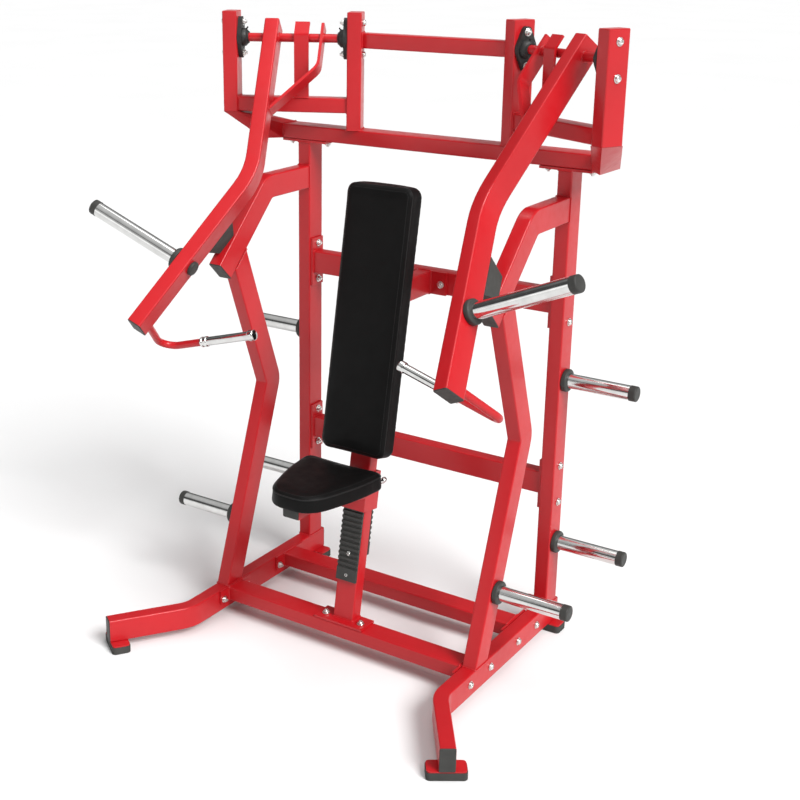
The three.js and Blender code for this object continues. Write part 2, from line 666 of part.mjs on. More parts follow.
// A pad: an outline in its own plane, given thickness with rounded edges.
function pad(outline, thickness, edge) {
  return new THREE.ExtrudeGeometry(outline, {
    depth: thickness - 2 * edge, bevelEnabled: true, curveSegments: 3,
    bevelSize: edge, bevelThickness: edge, bevelOffset: -edge, bevelSegments: 2,
  });
}

function backPad() {
  const height = PAD_TOP - PAD_BOTTOM;
  const outline = roundedRectangle(new THREE.Shape(), PAD_WIDTH, height, 34);
  const geometry = pad(outline, PAD_THICKNESS, 14).rotateX(Math.PI / 2);
  return geometry.translate(0, -GAP - 14, (PAD_TOP + PAD_BOTTOM) / 2);
}

add("back_pad", backPad(), upholstery, leaning);

// Adjustment racks on the post's front and rear faces: plates with level grooves.
const RACK_BOTTOM = 146;
const REAR_RACK_BOTTOM = 235;
const RACK_TOP = 528;
const RACK_PITCH = 18;
const RACK_THICKNESS = 10;
const RACK_WIDTH = 78;
function seatRack(bottom) {
  const GROOVE = 5;
  const points = [[-GAP, bottom], [-GAP, RACK_TOP], [-RACK_THICKNESS, RACK_TOP]];
  const grooves = Math.floor((RACK_TOP - bottom - 32) / RACK_PITCH);
  for (let i = 0; i < grooves; i++) {
    const top = RACK_TOP - 4 - i * RACK_PITCH;
    points.push([-RACK_THICKNESS, top], [GROOVE - RACK_THICKNESS, top - 3]);
    points.push([GROOVE - RACK_THICKNESS, top - 8], [-RACK_THICKNESS, top - 11]);
  }
  points.push([-RACK_THICKNESS, bottom]);
  const outline = new THREE.Shape(points.map(([y, z]) => new THREE.Vector2(y, z)));
  const plate = new THREE.ExtrudeGeometry(outline, { depth: RACK_WIDTH, bevelEnabled: false });
  return plate.rotateX(Math.PI / 2).rotateZ(Math.PI / 2).translate(-RACK_WIDTH / 2, 0, 0);
}

const rearRack = seatRack(REAR_RACK_BOTTOM).rotateZ(Math.PI).translate(0, POST_DEPTH, 0);
add("seat_rack", seatRack(RACK_BOTTOM), plastic, leaning);
add("rear_seat_rack", rearRack, plastic, leaning);

// Sleeve that slides on the post, with the arm that carries the seat.
const SLEEVE_BOTTOM = 398;
const SLEEVE_TOP = 530;
const SLEEVE_WALL = 5;
const SLEEVE_CLEARANCE = 1.5;
const SEAT_ARM_TOP = 632;         // height of the seat arm's top above the floor
const SEAT_ARM_HEIGHT = 30;
const SEAT_ARM_FRONT = -775;
const LEVER_RADIUS = 6;
const LEVER_HEIGHT = 478;         // the release lever's pin, along the post
const leverAxis = inLeaning(0, -36, LEVER_HEIGHT);

function seatCarriage() {
  const innerWidth = POST_WIDTH + 2 * SLEEVE_CLEARANCE;
  const outerWidth = innerWidth + 2 * SLEEVE_WALL;
  const front = -RACK_THICKNESS - SLEEVE_CLEARANCE;
  const back = POST_DEPTH + RACK_THICKNESS + SLEEVE_CLEARANCE;
  const middle = (front + back) / 2;
  const height = SLEEVE_TOP - SLEEVE_BOTTOM;
  const centreZ = (SLEEVE_TOP + SLEEVE_BOTTOM) / 2;
  const lean = (geometry) => geometry.rotateX(-POST_TILT).translate(0, POST_FOOT_Y, RAIL_TOP);
  const outer = lean(box(outerWidth, back - front + 2 * SLEEVE_WALL, height, vec(0, middle, centreZ)));
  const inner = lean(box(innerWidth, back - front, height + 20, vec(0, middle, centreZ)));
  const armY = inLeaning(0, front - SLEEVE_WALL / 2, SLEEVE_TOP).y;
  const length = armY - SEAT_ARM_FRONT;
  const centre = vec(0, SEAT_ARM_FRONT + length / 2, SEAT_ARM_TOP - SEAT_ARM_HEIGHT / 2);
  const arm = box(60, length, SEAT_ARM_HEIGHT, centre);
  const body = joined(outer, arm);

  // Two ears on the sleeve's sides carry the release lever's pin.
  const earReach = 52;
  const earHeight = 62;
  const earX = outerWidth / 2 - SLEEVE_WALL / 2;
  const ear = (side) => lean(box(SLEEVE_WALL, earReach, earHeight, vec(side * earX, front - earReach / 2, LEVER_HEIGHT)));
  const pinHole = rod(vec(-80, leverAxis.y, leverAxis.z), vec(80, leverAxis.y, leverAxis.z), LEVER_RADIUS + GAP, 16);
  return drilled(joined(body, ear(1), ear(-1)), inner, pinHole);
}

add("seat_carriage", seatCarriage(), redPaint);

// Seat cushion: wide and square at the back, narrowing to a round nose.
const SEAT_BACK_Y = -466;
const SEAT_FRONT_Y = -794;
const SEAT_HALF_WIDTH = 154;
function seatPad() {
  const outline = new THREE.Shape();
  const rearCorner = 34;
  const noseRadius = 62;
  const noseHalf = 84;
  outline.moveTo(-SEAT_HALF_WIDTH + rearCorner, SEAT_BACK_Y);
  outline.lineTo(SEAT_HALF_WIDTH - rearCorner, SEAT_BACK_Y);
  outline.absarc(SEAT_HALF_WIDTH - rearCorner, SEAT_BACK_Y - rearCorner, rearCorner, Math.PI / 2, 0, true);
  outline.quadraticCurveTo(SEAT_HALF_WIDTH - 4, SEAT_BACK_Y - 130, noseHalf + 20, SEAT_FRONT_Y + noseRadius);
  outline.quadraticCurveTo(noseHalf - 6, SEAT_FRONT_Y, noseHalf - noseRadius, SEAT_FRONT_Y);
  outline.lineTo(-noseHalf + noseRadius, SEAT_FRONT_Y);
  outline.quadraticCurveTo(-noseHalf + 6, SEAT_FRONT_Y, -noseHalf - 20, SEAT_FRONT_Y + noseRadius);
  outline.quadraticCurveTo(-SEAT_HALF_WIDTH + 4, SEAT_BACK_Y - 130, -SEAT_HALF_WIDTH, SEAT_BACK_Y - rearCorner);
  outline.absarc(-SEAT_HALF_WIDTH + rearCorner, SEAT_BACK_Y - rearCorner, rearCorner, Math.PI, Math.PI / 2, true);
  return pad(outline, 56, 12).translate(0, 0, SEAT_ARM_TOP + GAP + 12);
}

add("seat_pad", seatPad(), upholstery);

// Release lever: a pin across the ears of the sleeve, with a handle bent up beside the seat.
const leverCorner = vec(72, leverAxis.y, leverAxis.z);
const leverTip = vec(124, -446, 640);
const leverKnob = [[0, -4], [5, -4], [7, 0], [9, 5], [9, 19], [6, 24], [0, 24]];
function seatLever() {
  const section = new THREE.Shape().absarc(0, 0, LEVER_RADIUS, 0, 2 * Math.PI);
  const path = roundedPath([vec(-58, leverAxis.y, leverAxis.z), leverCorner, leverTip], 18, 15);
  const direction = leverTip.clone().sub(leverCorner).normalize();
  return joined(alongPath(section, path, Z_AXIS, 4), turned(leverKnob, leverTip, direction, 16));
}

add("seat_lever", seatLever(), chrome);

export default machine;
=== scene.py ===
"""Looks for the plate-loaded chest press machine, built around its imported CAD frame.

Machine coordinates are millimetres with +X to the sitter's left, -Y the way the sitter faces and +Z up.
at() turns them into the frame's metres, whose origin is under the middle of the machine.
"""
import math

import bmesh
import bpy
import numpy as np
from mathutils import Matrix, Vector
from mathutils.bvhtree import BVHTree


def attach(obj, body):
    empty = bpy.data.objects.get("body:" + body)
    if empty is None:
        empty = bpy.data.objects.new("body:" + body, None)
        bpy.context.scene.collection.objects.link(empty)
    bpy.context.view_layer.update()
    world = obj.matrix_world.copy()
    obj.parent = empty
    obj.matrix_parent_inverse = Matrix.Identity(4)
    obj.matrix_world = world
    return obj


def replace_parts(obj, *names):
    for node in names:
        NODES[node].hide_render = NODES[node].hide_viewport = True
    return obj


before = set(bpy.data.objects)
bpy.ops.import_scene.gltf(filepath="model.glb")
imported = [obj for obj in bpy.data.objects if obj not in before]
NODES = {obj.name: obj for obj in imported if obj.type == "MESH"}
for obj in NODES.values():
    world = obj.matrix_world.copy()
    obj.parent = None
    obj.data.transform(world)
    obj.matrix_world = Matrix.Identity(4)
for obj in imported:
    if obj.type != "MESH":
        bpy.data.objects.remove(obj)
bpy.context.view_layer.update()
SIDES = (("right", 1), ("left", -1))

# ---------------------------------------------------------------- machine dimensions, in millimetres
ORIGIN_Y = 430
FRAME_X = 501
TUBE_HALF = 25
TUBE_HALF_DEEP = 40
RAIL_TOP = 110
RAIL_MIDDLE_Z = 70
OUTER_FACE = FRAME_X + TUBE_HALF
FLANGE_FACE = FRAME_X - TUBE_HALF - 8.3      # inner face of the cross members' flanges
GAP = 0.3                                    # between solids that touch
BASE_CROSSES = (-472, -140)
BASE_BOLT_OFFSET = 68
BASE_BOLT_Z = 75
BACK_CROSSES = (560, 1197)
BACK_BOLT_OFFSET = 66
BACK_BOLT_Y = 43
BACK_Y = 40
TOP_PLATE_BOTTOM = 1628.7
TOP_PLATE_BOLT_OFFSET = 76
TOE_BEND = Vector((FRAME_X, -688, RAIL_MIDDLE_Z))
TOE_END = Vector((664, -926, RAIL_MIDDLE_Z))
HIP_FRONT = Vector((FRAME_X, -480.5, 1260.5))
BRACKET_YAW = math.radians(25)
BRACKET_START = Vector((267, 6, 0))          # inner front corner of the right bracket
BRACKET_LENGTH = 479
BRACKET_TOP = 2075
LOWER_BAR_BOTTOM = 1743
SHAFT_V = 40
SHAFT_Z = 1990
SHAFT_RADIUS = 14.7
BEARING_BOLT_OFFSET = 52
BEARING_BOLT_GRIP = 64.3                     # from the heads on a post to the nuts on its bearing
ARM_U = 313
BRACE_U = 139
POST_TILT = math.radians(10)
POST_FOOT = Vector((0, -483, RAIL_TOP))
RACK_BOLTS = (166, 241)
RACK_BOLT_SINK = 5.4                         # keeps the heads clear of the sliding carriage
PAD_WIDTH = 256
PAD_BOTTOM = 594
PAD_TOP = 1480
PAD_THICKNESS = 66
SEAT_BOTTOM = 632
SEAT_THICKNESS = 56
BOARD = 5                                    # backing board under each cushion

X_AXIS = Vector((1, 0, 0))
Y_AXIS = Vector((0, 1, 0))
Z_AXIS = Vector((0, 0, 1))


def at(point):
    """A machine point in the frame's metres."""
    x, y, z = point
    return Vector((x, y + ORIGIN_Y, z)) / 1000


def flip(point, side):
    """The point or direction on the right (side 1) or left (side -1), as seen from the front."""
    return Vector((point[0] * side, point[1], point[2]))


U_AXIS = Vector((math.cos(BRACKET_YAW), -math.sin(BRACKET_YAW), 0))
V_AXIS = Vector((math.sin(BRACKET_YAW), math.cos(BRACKET_YAW), 0))


def in_bracket(u, v, z):
    """A point of the right bracket: u outward along the shaft, v backward, z up."""
    return BRACKET_START + U_AXIS * u + V_AXIS * v + Z_AXIS * z


LEAN = Matrix.Rotation(-POST_TILT, 3, "X")


def in_post(x, y, z):
    """A point of the leaning post: y back from its front face, z up along it."""
    return POST_FOOT + LEAN @ Vector((x, y, z))


POST_UP = LEAN @ Z_AXIS
POST_OUT = LEAN @ -Y_AXIS


# ---------------------------------------------------------------- materials
NOISE_RANGE = (0.3, 0.7)


class Look:
    """A Principled material with helpers for its procedural nodes."""

    def __init__(self, name, color, **sockets):
        self.material = bpy.data.materials.new(name)
        self.material.use_nodes = True
        self.material.diffuse_color = (*color, 1)
        self.tree = self.material.node_tree
        self.shader = self.tree.nodes["Principled BSDF"]
        self.shader.inputs["Base Color"].default_value = (*color, 1)
        for socket, value in sockets.items():
            self.shader.inputs[socket.replace("_", " ")].default_value = value
        coordinates = self.tree.nodes.new("ShaderNodeTexCoord")
        self.place = coordinates.outputs["Object"]
        self.color = color
        self.normal = None

    def node(self, kind, **inputs):
        made = self.tree.nodes.new(kind)
        for socket, value in inputs.items():
            target = made.inputs[socket.replace("_", " ")]
            if isinstance(value, bpy.types.NodeSocket):
                self.tree.links.new(value, target)
            else:
                target.default_value = value
        return made

    def noise(self, scale, detail=3.0):
        made = self.node("ShaderNodeTexNoise", Vector=self.place, Scale=scale, Detail=detail)
        return made.outputs["Fac"]

    def cells(self, scale):
        made = self.node("ShaderNodeTexVoronoi", Vector=self.place, Scale=scale)
        return made.outputs["Distance"]

    def span(self, value, low, high):
        """Stretches the part of the range that a noise fills to low and high."""
        made = self.node("ShaderNodeMapRange", Value=value)
        for index, number in enumerate((*NOISE_RANGE, low, high), start=1):
            made.inputs[index].default_value = number
        return made.outputs["Result"]

    def tint(self, value, other):
        """Varies the base colour between the material's own and another one."""
        mix = self.tree.nodes.new("ShaderNodeMix")
        mix.data_type = "RGBA"
        self.tree.links.new(value, mix.inputs[0])
        mix.inputs[6].default_value = (*self.color, 1)
        mix.inputs[7].default_value = (*other, 1)
        self.tree.links.new(mix.outputs[2], self.shader.inputs["Base Color"])

    def roughness(self, value, low, high):
        result = self.span(value, low, high)
        self.tree.links.new(result, self.shader.inputs["Roughness"])

    def bump(self, height, strength, distance):
        made = self.node("ShaderNodeBump", Height=height, Strength=strength, Distance=distance)
        if self.normal:
            self.tree.links.new(self.normal, made.inputs["Normal"])
        self.normal = made.outputs["Normal"]
        self.tree.links.new(self.normal, self.shader.inputs["Normal"])


def red_paint():
    """Gloss powder coat: a fine orange peel, slight tone changes and a clear top."""
    look = Look("red_powder_coat", (0.47, 0.0078, 0.0125), Coat_Weight=0.12, Coat_Roughness=0.14,
                Specular_IOR_Level=0.35)
    look.tint(look.span(look.noise(5.0), 0.0, 1.0), (0.42, 0.0066, 0.0105))
    look.roughness(look.noise(38.0), 0.28, 0.40)
    look.bump(look.noise(650.0, 2.0), 0.12, 0.0004)
    look.bump(look.noise(70.0, 2.0), 0.05, 0.001)
    return look.material


def chrome():
    """Polished plating with an uneven tone and handling haze."""
    look = Look("polished_chrome", (0.72, 0.72, 0.71), Metallic=1.0)
    look.tint(look.span(look.noise(30.0), 0.0, 1.0), (0.62, 0.62, 0.61))
    look.roughness(look.noise(45.0, 4.0), 0.07, 0.16)
    look.bump(look.noise(260.0, 3.0), 0.03, 0.0002)
    return look.material


def cap_plastic():
    look = Look("dark_moulded_plastic", (0.042, 0.042, 0.039), Specular_IOR_Level=0.3)
    look.tint(look.span(look.noise(25.0), 0.0, 1.0), (0.032, 0.032, 0.030))
    look.roughness(look.noise(60.0), 0.42, 0.58)
    look.bump(look.noise(900.0, 2.0), 0.2, 0.0003)
    return look.material


def cast_iron():
    look = Look("black_cast_iron", (0.012, 0.012, 0.012), Specular_IOR_Level=0.4)
    look.tint(look.span(look.noise(60.0), 0.0, 1.0), (0.020, 0.020, 0.019))
    look.roughness(look.noise(80.0), 0.42, 0.62)
    look.bump(look.noise(420.0, 4.0), 0.5, 0.0008)
    return look.material


def rubber():
    look = Look("dark_rubber", (0.040, 0.040, 0.037), Specular_IOR_Level=0.25)
    look.tint(look.span(look.noise(18.0), 0.0, 1.0), (0.050, 0.049, 0.046))
    look.roughness(look.noise(45.0), 0.68, 0.85)
    look.bump(look.noise(520.0, 3.0), 0.3, 0.0005)
    return look.material


def vinyl(name, color, other):
    """Upholstery vinyl: pebbled grain, fine roughness and slow waves."""
    look = Look(name, color, Specular_IOR_Level=0.10)
    look.tint(look.span(look.noise(9.0), 0.0, 1.0), other)
    look.roughness(look.noise(30.0), 0.40, 0.54)
    look.bump(look.cells(480.0), 0.35, 0.0005)
    look.bump(look.noise(1400.0, 2.0), 0.12, 0.0002)
    look.bump(look.noise(12.0, 2.0), 0.12, 0.004)
    return look.material


def zinc():
    look = Look("zinc_plated_steel", (0.78, 0.78, 0.76), Metallic=1.0)
    look.tint(look.span(look.noise(150.0), 0.0, 1.0), (0.64, 0.64, 0.62))
    look.roughness(look.noise(180.0), 0.22, 0.36)
    look.bump(look.noise(700.0, 2.0), 0.1, 0.0002)
    return look.material


def thread():
    look = Look("black_bonded_thread", (0.012, 0.012, 0.012))
    look.tint(look.span(look.noise(300.0), 0.0, 1.0), (0.03, 0.03, 0.03))
    look.roughness(look.noise(200.0), 0.55, 0.7)
    look.bump(look.noise(2500.0, 2.0), 0.4, 0.0003)
    return look.material


PAINT = red_paint()
CHROME = chrome()
PLASTIC = cap_plastic()
IRON = cast_iron()
RUBBER = rubber()
VINYL = vinyl("black_grained_vinyl", (0.0048, 0.0046, 0.0046), (0.0036, 0.0035, 0.0035))
# real piping trim, but its vinyl is lighter than the cushion's: a painted highlight along the pads' upper
# edges
PIPING_PAINTED_HIGHLIGHT = vinyl("dark_piping_painted_highlight", (0.022, 0.021, 0.021), (0.016, 0.016, 0.016))
ZINC = zinc()
THREAD = thread()


# ---------------------------------------------------------------- building meshes
def shaded(obj, group="smooth_by_angle", angle=50):
    """Smooth shading that keeps corners sharper than the angle crisp."""
    tree = bpy.data.node_groups.get(group) or smooth_group(group, angle)
    modifier = obj.modifiers.new("smooth", "NODES")
    modifier.node_group = tree
    weights = obj.modifiers.new("weights", "WEIGHTED_NORMAL")
    weights.keep_sharp = True


def smooth_group(name, angle):
    tree = bpy.data.node_groups.new(name, "GeometryNodeTree")
    tree.interface.new_socket("Geometry", in_out="INPUT", socket_type="NodeSocketGeometry")
    tree.interface.new_socket("Geometry", in_out="OUTPUT", socket_type="NodeSocketGeometry")
    nodes = tree.nodes
    weld = nodes.new("GeometryNodeMergeByDistance")
    weld.inputs["Distance"].default_value = 0.00001
    faces = nodes.new("GeometryNodeSetShadeSmooth")
    edges = nodes.new("GeometryNodeSetShadeSmooth")
    edges.domain = "EDGE"
    edges.inputs["Shade Smooth"].default_value = False
    bend = nodes.new("GeometryNodeInputMeshEdgeAngle")
    sharp = nodes.new("FunctionNodeCompare")
    sharp.inputs[1].default_value = math.radians(angle)
    chain = (nodes.new("NodeGroupInput"), weld, faces, edges, nodes.new("NodeGroupOutput"))
    for before, after in zip(chain, chain[1:]):
        tree.links.new(before.outputs[0], after.inputs[0])
    tree.links.new(bend.outputs["Unsigned Angle"], sharp.inputs[0])
    tree.links.new(sharp.outputs[0], edges.inputs["Selection"])
    return tree


def finish_piece(name, mesh, look, body, smooth=True):
    obj = bpy.data.objects.new(name, mesh)
    bpy.context.scene.collection.objects.link(obj)
    mesh.materials.clear()
    mesh.materials.append(look)
    if smooth:
        shaded(obj)
    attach(obj, body)
    return obj


class Part:
    """Collects bmesh shapes, given in machine millimetres, into one piece."""

    def __init__(self):
        self.bm = bmesh.new()

    def loops(self, loops, closed=False):
        """Skins a row of point loops; open rows get a flat face on each end."""
        rings = [[self.bm.verts.new(at(point)) for point in loop] for loop in loops]
        pairs = list(zip(rings, rings[1:]))
        if closed:
            pairs.append((rings[-1], rings[0]))
        for low, high in pairs:
            for i in range(len(low)):
                k = (i + 1) % len(low)
                self.bm.faces.new((low[i], low[k], high[k], high[i]))
        if not closed:
            self.bm.faces.new(list(reversed(rings[0])))
            self.bm.faces.new(rings[-1])
        return self

    def turned(self, outline, base, direction, segments=48, ring=False):
        """A solid of revolution from (radius, height) pairs off the axis.

        Flat faces close its ends at the first and last radius; a ring is open in the middle instead.
        """
        across = direction.orthogonal().normalized()
        other = direction.cross(across)
        loops = []
        for radius, height in outline:
            loop = []
            for i in range(segments):
                turn = math.tau * i / segments
                spoke = across * math.cos(turn) + other * math.sin(turn)
                loop.append(base + direction * height + spoke * radius)
            loops.append(loop)
        return self.loops(loops, ring)

    def slab(self, outline, base, across, up, out, thickness, edge, foot=0):
        """A flat outline given thickness along out, its upper rim rounded and its foot too if asked."""
        inset_to = [(foot, 0), (foot * 0.3, foot * 0.3), (0, foot)] if foot else [(0, 0)]
        inset_to.append((0, thickness - edge))
        for step in range(1, 4):
            turn = math.pi / 2 * step / 3
            inset_to.append((edge * (1 - math.cos(turn)), thickness - edge + edge * math.sin(turn)))
        loops = []
        for inset, height in inset_to:
            points = inset_outline(outline, inset)
            loops.append([base + across * x + up * y + out * height for x, y in points])
        return self.loops(loops)

    def swept(self, path, radius, segments=16, closed=False):
        """A round bar along a path; radius may be a function of the point's index."""
        size = radius if callable(radius) else lambda index: radius
        loops = []
        count = len(path)
        side = None
        for i, point in enumerate(path):
            before = path[(i - 1) % count] if closed or i > 0 else point
            after = path[(i + 1) % count] if closed or i < count - 1 else point
            along = (after - before).normalized()
            side = along.orthogonal() if side is None else side - along * side.dot(along)
            side.normalize()
            other = along.cross(side)
            loop = []
            for k in range(segments):
                turn = math.tau * k / segments
                loop.append(point + (side * math.cos(turn) + other * math.sin(turn)) * size(i))
            loops.append(loop)
        return self.loops(loops, closed)

    def piece(self, name, look, body, slot, smooth=True):
        bmesh.ops.recalc_face_normals(self.bm, faces=self.bm.faces)
        mesh = bpy.data.meshes.new(name)
        self.bm.to_mesh(mesh)
        self.bm.free()
        return finish_piece(name, mesh, look, body, smooth)


def inset_outline(outline, inset):
    """A counter-clockwise outline of (x, y) pairs moved inward."""
    moved = []
    count = len(outline)
    for i, (x, y) in enumerate(outline):
        before = Vector(outline[i - 1])
        after = Vector(outline[(i + 1) % count])
        along = (after - before).normalized()
        moved.append((x - along.y * inset, y + along.x * inset))
    return moved


def rounded_rectangle(half_x, half_y, corner, steps=5):
    outline = []
    for start, sx, sy in ((0, 1, 1), (90, -1, 1), (180, -1, -1), (270, 1, -1)):
        for k in range(steps + 1):
            turn = math.radians(start + 90 * k / steps)
            x = sx * (half_x - corner) + corner * math.cos(turn)
            y = sy * (half_y - corner) + corner * math.sin(turn)
            outline.append((x, y))
    return outline


def resampled(points, step, closed=False):
    """Points spaced evenly along a polyline."""
    corners = points + [points[0]] if closed else points
    result = []
    for start, end in zip(corners, corners[1:]):
        count = max(1, round((end - start).length / step))
        result += [start.lerp(end, k / count) for k in range(count)]
    if not closed:
        result.append(corners[-1])
    return result


def rounded_path(corners, radius, steps=12):
    path = [corners[0]]
    for before, corner, after in zip(corners, corners[1:], corners[2:]):
        into = (corner - before).normalized()
        out = (after - corner).normalized()
        angle = into.angle(out)
        start = corner - into * radius * math.tan(angle / 2)
        towards = (out - into * into.dot(out)).normalized()
        for k in range(steps + 1):
            turn = angle * k / steps
            path.append(start + into * radius * math.sin(turn) + towards * radius * (1 - math.cos(turn)))
    path.append(corners[-1])
    return path


# ---------------------------------------------------------------- CAD nodes that stay
def cad_look(name):
    if "horn" in name or "grip" in name or name == "seat_lever":
        return CHROME
    if "bearing" in name:
        return IRON
    if "_foot" in name or "bumper" in name:
        return RUBBER
    if name.endswith("seat_rack"):
        return PLASTIC
    if name in ("seat_pad", "back_pad"):
        return VINYL
    return PAINT


for node_name, node_object in NODES.items():
    old_normals = node_object.data.attributes.get("custom_normal")
    if old_normals:
        node_object.data.attributes.remove(old_normals)
    node_object.data.materials.clear()
    node_object.data.materials.append(cad_look(node_name))
    if "beam_end_block" in node_name:
        shaded(node_object, "block_by_angle", 24)
    else:
        shaded(node_object)


# ---------------------------------------------------------------- fasteners
WASHER = [(8, 0), (12.5, 0), (13, 0.5), (13, 1.9), (12.4, 2.4), (8, 2.4)]
HEAD = [(9.6, 2.2), (10.4, 2.8), (10.4, 7.6), (9.4, 9.2), (7.0, 9.8)]
BOLT_END = [(4.8, 9.0), (5.0, 14.0), (4.0, 15.0)]
DOME = [(10.2, 2.2), (10.6, 3.4), (10.2, 6.0), (8.6, 8.2), (6.2, 9.4), (5.2, 9.0), (4.9, 6.0)]


def bolt_group(name, places, body, size=1.0):
    """Washers with button heads, or with nuts on a bolt's end.

    places are (point, outward direction, kind).
    """
    part = Part()

    def turned(outline, segments):
        sized = [(radius * size, height * size) for radius, height in outline]
        part.turned(sized, point, direction, segments)

    for point, direction, kind in places:
        turned(WASHER, 32)
        if kind == "button":
            turned(DOME, 32)
        else:
            turned(HEAD, 6)
            turned(BOLT_END, 20)
    part.piece(name, ZINC, body, "chrome")


def add_bolts():
    for label, side in SIDES:
        outward = flip(X_AXIS, side)
        rail = []
        for y in BASE_CROSSES:
            for offset in (-BASE_BOLT_OFFSET, BASE_BOLT_OFFSET):
                rail.append((flip((OUTER_FACE, y + offset, BASE_BOLT_Z), side), outward, "button"))
                rail.append((flip((FLANGE_FACE, y + offset, BASE_BOLT_Z), side), -outward, "nut"))
        bolt_group(f"{label}_base_bolts", rail, "frame")

        upright = []
        for z in BACK_CROSSES:
            for offset in (-BACK_BOLT_OFFSET, BACK_BOLT_OFFSET):
                upright.append((flip((OUTER_FACE, BACK_BOLT_Y, z + offset), side), outward, "button"))
                upright.append((flip((FLANGE_FACE, BACK_BOLT_Y, z + offset), side), -outward, "nut"))
        for x in (FRAME_X - TOP_PLATE_BOLT_OFFSET, FRAME_X + TOP_PLATE_BOLT_OFFSET):
            upright.append((flip((x, BACK_Y, TOP_PLATE_BOTTOM), side), -Z_AXIS, "nut"))
        bolt_group(f"{label}_upright_bolts", upright, "frame")

        u_axis = flip(U_AXIS, side)
        bearing = []
        for z in (SHAFT_Z - BEARING_BOLT_OFFSET, SHAFT_Z + BEARING_BOLT_OFFSET):
            for u, way, kind in ((0, -1, "button"), (BEARING_BOLT_GRIP, 1, "nut"),
                                 (BRACKET_LENGTH, 1, "button"),
                                 (BRACKET_LENGTH - BEARING_BOLT_GRIP, -1, "nut")):
                bearing.append((flip(in_bracket(u, SHAFT_V, z), side), u_axis * way, kind))
        bolt_group(f"{label}_bearing_bolts", bearing, "frame")

    post = [((x, -478, 118.3), Z_AXIS, "nut") for x in (-70, 70)]
    post += [((x, 6.7, 1194), -Y_AXIS, "nut") for x in (-64, 64)]
    bolt_group("seat_post_bolts", [(Vector(point), way, kind) for point, way, kind in post], "frame")
    rack = [(in_post(0, -RACK_BOLT_SINK, along), POST_OUT, "button") for along in RACK_BOLTS]
    bolt_group("rack_bolts", rack, "frame", 0.62)


add_bolts()


# ---------------------------------------------------------------- weight horns, collars and caps
COLLAR = [(26, 0.4), (36.5, 0.4), (38.4, 2.4), (38.4, 13.6), (36.0, 16.8), (31.5, 17.6), (25.4, 17.6)]


def add_horn(name, node, base, direction, length, body):
    """Chrome bar, dark stop collar where it meets the frame and a dark end plug."""
    bar = [(6, 1), (24.7, 1), (25, 1.5), (25, length - 24.5), (24.6, length - 24), (6, length - 24)]
    horn = Part().turned(bar, base, direction, 64).piece(name, CHROME, body, "chrome")
    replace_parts(horn, node)
    Part().turned(COLLAR, base, direction, 64).piece(name + "_collar", PLASTIC, body, "black_plastic")
    plug = [(20, -25), (25.0, -24.6), (25.7, -24), (25.7, -5.0), (25.0, -2.0), (23.0, -0.5), (20.5, 0)]
    plug.append((4, 0.0))
    tip = base + direction * length
    Part().turned(plug, tip, direction, 64).piece(name + "_plug", PLASTIC, body, "black_plastic")


ARM_TOP = in_bracket(ARM_U, 67.6, 2028.6)
ARM_BEND = in_bracket(ARM_U, -287, 1570.5)
ARM_END = in_bracket(624, -623, 1137)
UPPER_ARM = (ARM_BEND - ARM_TOP).normalized()
FOREARM = (ARM_END - ARM_BEND).normalized()
FOREARM_SIDE = UPPER_ARM.rotation_difference(FOREARM) @ U_AXIS
FOREARM_BACK = FOREARM_SIDE.cross(FOREARM)
HORN_FOOT = ARM_END - FOREARM * 259 + FOREARM_SIDE * (TUBE_HALF + GAP)
KNEE = Vector((FRAME_X, -222, 812))
SHIN_BOTTOM = Vector((FRAME_X, -466, RAIL_TOP))
SHIN_SLOPE = (KNEE.y - SHIN_BOTTOM.y) / (KNEE.z - SHIN_BOTTOM.z)
FRONT_HORN_Z = 337
STORAGE_HORN_END = 780
ARM_HORN_LENGTH = 368


def add_horns():
    face = OUTER_FACE + GAP
    length = STORAGE_HORN_END - face
    front_y = KNEE.y - (KNEE.z - FRONT_HORN_Z) * SHIN_SLOPE
    storage = (("upper_storage_horn", BACK_Y, 933), ("lower_storage_horn", BACK_Y, 348),
               ("front_storage_horn", front_y, FRONT_HORN_Z))
    for label, side in SIDES:
        for name, y, z in storage:
            base = flip((face, y, z), side)
            add_horn(f"{label}_{name}_bar", f"{label}_{name}", base, flip(X_AXIS, side), length, "frame")
        arm = f"{label}_arm"
        base = flip(HORN_FOOT, side)
        outward = flip(FOREARM_SIDE, side)
        add_horn(f"{label}_arm_horn_bar", f"{label}_arm_horn", base, outward, ARM_HORN_LENGTH, arm)
        cap = [(6, 0.2), (23.5, 0.2), (24.2, 1.0), (24.2, 9.5), (22.0, 11.6), (17.0, 12.2), (4, 12.4)]
        inner = flip(HORN_FOOT - FOREARM_SIDE * (2 * TUBE_HALF + GAP), side)
        Part().turned(cap, inner, -outward, 48).piece(f"{label}_arm_horn_cap", PLASTIC, arm, "black_plastic")


add_horns()


# ---------------------------------------------------------------- closing caps on the tube ends
def add_cap(name, centre, across, up, half_x, half_y, body, look=PLASTIC, slot="black_plastic", rise=3.5):
    """A plug pressed into a tube end: a skirt inside the tube and a low domed cover."""
    out = across.cross(up)
    part = Part()
    cover = rounded_rectangle(half_x - 0.4, half_y - 0.4, 5)
    part.slab(cover, centre + out * 0.1, across, up, out, rise, min(2.0, rise * 0.6))
    skirt = rounded_rectangle(half_x - 3.6, half_y - 3.6, 2)
    part.slab(skirt, centre - out * 14, across, up, out, 14.5, 0.5)
    part.piece(name, look, body, slot)


